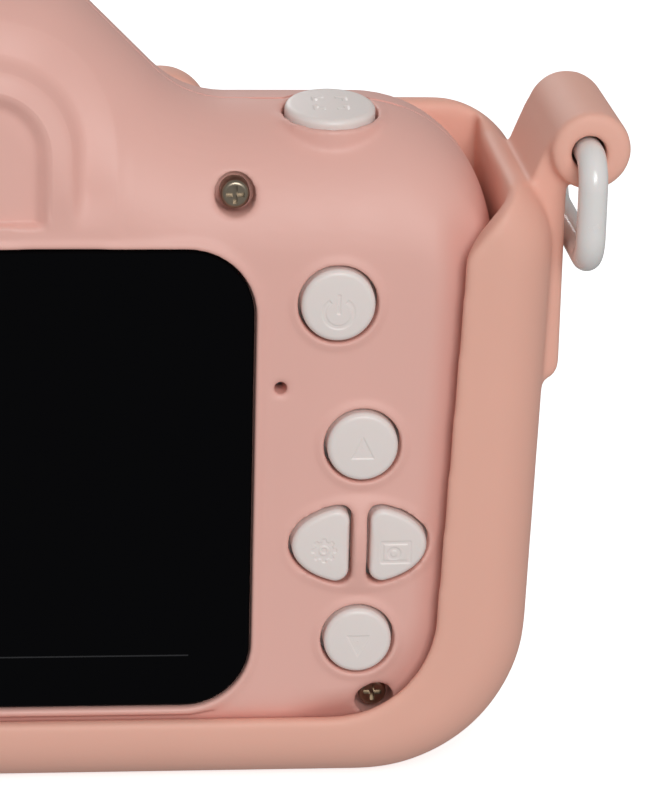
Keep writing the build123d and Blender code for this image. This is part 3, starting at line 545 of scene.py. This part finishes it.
def bracket_mark(u, v):
    """Four corner brackets, as on a viewfinder."""
    outline = stroke(box_distance(u, v, 1.25, 1.25), 0.11)
    return np.maximum(outline, 0.6 - np.minimum(np.abs(u), np.abs(v)))


def cap_outline(points, angles):
    """How far a closed outline lies from the origin along each angle."""
    order = np.argsort(np.arctan2(points[:, 1], points[:, 0]))
    start = points[order]
    run = np.roll(start, -1, axis=0) - start
    radii = []
    for angle in angles:
        way = np.array([math.cos(angle), math.sin(angle)])
        side = run[:, 0] * way[1] - run[:, 1] * way[0]
        side = np.where(np.abs(side) < 1e-9, 1e-9, side)
        along = (way[0] * start[:, 1] - way[1] * start[:, 0]) / side
        reach = (start[:, 1] * run[:, 0] - start[:, 0] * run[:, 1]) / side
        hits = reach[(along > -1e-6) & (along < 1 + 1e-6) & (reach > 0)]
        radii.append(hits.max())
    return np.array(radii)


def button_piece(node, centre, across, upward, mark, cap_round, flange_grow, levels):
    """A button cap with a rounded rim, a slight crown and a sunk mark, its flange and its stem.

    levels: how far above the centre the cap's face, the flange's top and foot, and the stem's end lie."""
    outward = across.cross(upward)
    turn = np.array([across, upward, outward])
    local = (place_of(nodes[node].data) - np.array(centre)) @ turn.T / MM
    face, flange_top, flange_foot, stem_end = levels
    at_side = np.abs(local[:, 2] - (face - cap_round)) < SIDE_TOLERANCE
    angles = np.linspace(0, 2 * math.pi, BUTTON_SPOKES, endpoint=False)
    edge = cap_outline(local[at_side][:, :2], angles)
    rings = []
    for step in range(1, BUTTON_RINGS + 1):
        inward = 1 - step / BUTTON_RINGS
        radius = (edge - RIM_ROUND) * (1 - inward)
        u, v = radius * np.cos(angles), radius * np.sin(angles)
        sunk = MARK_DEPTH * near(mark(u, v), 0.0, MARK_EDGE)
        rings.append((radius, face - CROWN * (1 - inward) ** 2 - sunk))
    for step in range(1, RIM_STEPS + 1):
        angle = math.radians(90 * step / RIM_STEPS)
        drop = RIM_ROUND * (1 - math.cos(angle))
        rings.append((edge - RIM_ROUND * (1 - math.sin(angle)), np.full_like(edge, face - CROWN - drop)))
    stem = np.full_like(edge, STEM_RADIUS)
    for radius, level in ((edge, flange_top), (edge + flange_grow, flange_top),
                          (edge + flange_grow, flange_foot), (stem, flange_foot), (stem, stem_end)):
        rings.append((radius, np.full_like(edge, level)))
    vertices = [(0.0, 0.0, face)]
    for radius, level in rings:
        vertices += list(zip(radius * np.cos(angles), radius * np.sin(angles), level))
    vertices.append((0.0, 0.0, stem_end))
    placed = np.array(vertices) * MM @ turn + np.array(centre)
    name = node.replace("_button", "_key_cap")
    piece = new_piece(name, placed.tolist(), fan_faces(len(rings)), button_plastic,
                      body_of_node(node))
    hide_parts(node)


def fan_faces(ring_count):
    """Faces of a closed turned form: a fan, bands between rings, and a fan at the far end."""
    spokes = BUTTON_SPOKES
    last = 1 + ring_count * spokes
    faces = []
    for i in range(spokes):
        j = (i + 1) % spokes
        faces.append((0, 1 + i, 1 + j))
        for ring in range(ring_count - 1):
            low = 1 + ring * spokes
            faces.append((low + i, low + spokes + i, low + spokes + j, low + j))
        low = 1 + (ring_count - 1) * spokes
        faces.append((last, low + j, low + i))
    return faces


def add_buttons():
    across, up = Vector((1, 0, 0)), Vector((0, 0, 1))
    marks = {
        "power_button": power_mark,
        "up_button": lambda u, v: triangle_mark(u, v, 1),
        "down_button": lambda u, v: triangle_mark(u, v, -1),
        "menu_button": gear_mark,
        "mode_button": picture_mark,
    }
    for node, mark in marks.items():
        low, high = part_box(node)
        middle = (low + high) / 2
        if node in PAIR_STEM_X:
            middle.x = PAIR_STEM_X[node] * MM
        centre = Vector((middle.x, REAR_Y, middle.z))
        levels = ((REAR_Y - low.y) / MM, -FLANGE_TOP, -FLANGE_FOOT, (REAR_Y - high.y) / MM)
        button_piece(node, centre, across, up, mark, CAP_ROUND, FLANGE_GROW, levels)
    lean = math.radians(SHUTTER_LEAN)
    forward = Vector((0, math.cos(lean), math.sin(lean)))
    centre = Vector((SHUTTER[0] * MM, REAR_Y + SHUTTER[1] * MM, SHUTTER_RIM_Z * MM))
    button_piece("shutter_button", centre, across, forward, bracket_mark, SHUTTER_ROUND,
                 SHUTTER_FLANGE_GROW, SHUTTER_LEVELS)


# ---- Camera, lights and floor -----------------------------------------------------------------
def add_camera():
    """The view, from its place and three turns."""
    data = bpy.data.cameras.new("view")
    data.lens = LENS_LENGTH
    data.clip_start, data.clip_end = NEAREST, FARTHEST
    camera = bpy.data.objects.new("view", data)
    bpy.context.collection.objects.link(camera)
    yaw, pitch = math.radians(YAW), math.radians(PITCH)
    ahead = Vector((math.sin(yaw) * math.cos(pitch), math.cos(yaw) * math.cos(pitch), -math.sin(pitch)))
    right = ahead.cross(Vector((0, 0, 1))).normalized()
    up = right.cross(ahead)
    turn = Matrix((right, up, -ahead)).transposed() @ Matrix.Rotation(math.radians(ROLL), 3, "Z")
    camera.matrix_world = Matrix.Translation(EYE) @ turn.to_4x4()
    bpy.context.scene.camera = camera


def add_light(name, place, power):
    """A round lamp that faces the object."""
    data = bpy.data.lights.new(name, "AREA")
    data.shape = "DISK"
    data.size = LAMP_SIZE
    data.energy = power
    light = bpy.data.objects.new(name, data)
    bpy.context.collection.objects.link(light)
    light.location = place
    light.rotation_euler = (Vector(LAMP_TARGET) - Vector(place)).to_track_quat("-Z", "Y").to_euler()


def add_sky():
    """White light tent, nearly even: a trace brighter overhead than below the horizon."""
    world = bpy.data.worlds.new("studio")
    bpy.context.scene.world = world
    world.use_nodes = True
    tree = world.node_tree
    coordinates = tree.nodes.new("ShaderNodeTexCoord")
    split = tree.nodes.new("ShaderNodeSeparateXYZ")
    level = tree.nodes.new("ShaderNodeMapRange")
    level.inputs["From Min"].default_value = SKY_FOOT
    level.inputs["To Min"].default_value = SKY_LOW
    level.inputs["To Max"].default_value = SKY_HIGH
    background = tree.nodes["Background"]
    background.inputs["Color"].default_value = (1, 1, 1, 1)
    tree.links.new(coordinates.outputs["Generated"], split.inputs["Vector"])
    tree.links.new(split.outputs["Z"], level.inputs["Value"])
    tree.links.new(level.outputs["Result"], background.inputs["Strength"])


def add_studio():
    """Flat white floor, pale world and two large soft lamps."""
    mesh = bpy.data.meshes.new("floor")
    reach = FLOOR_REACH
    corners = [(-reach, -reach, 0), (reach, -reach, 0), (reach, reach, 0), (-reach, reach, 0)]
    mesh.from_pydata(corners, [], [(0, 1, 2, 3)])
    floor = bpy.data.objects.new("floor", mesh)
    bpy.context.collection.objects.link(floor)
    paper = moulded("floor_paper", (0.95, 0.95, 0.95), 0.8, shift=0.005)
    shader = next(n for n in paper.node_tree.nodes if n.type == "BSDF_PRINCIPLED")
    shader.inputs["Emission Color"].default_value = (1, 1, 1, 1)
    shader.inputs["Emission Strength"].default_value = FLOOR_GLOW
    dress(floor, paper)
    floor.visible_diffuse = False
    floor.visible_glossy = False
    add_sky()
    for name, (place, power) in LAMPS.items():
        add_light(name, place, power)
    bpy.context.scene.view_settings.view_transform = "Standard"


add_camera()
add_studio()
dress_cad_nodes()
softened("rear_shell", "rear_housing", SHELL_VOXEL, weigh_rear_shell, shape_rear_shell, shell_plastic)
softened("silicone_case", "silicone_sleeve", CASE_VOXEL, weigh_case, keep_shape, silicone)
add_buttons()
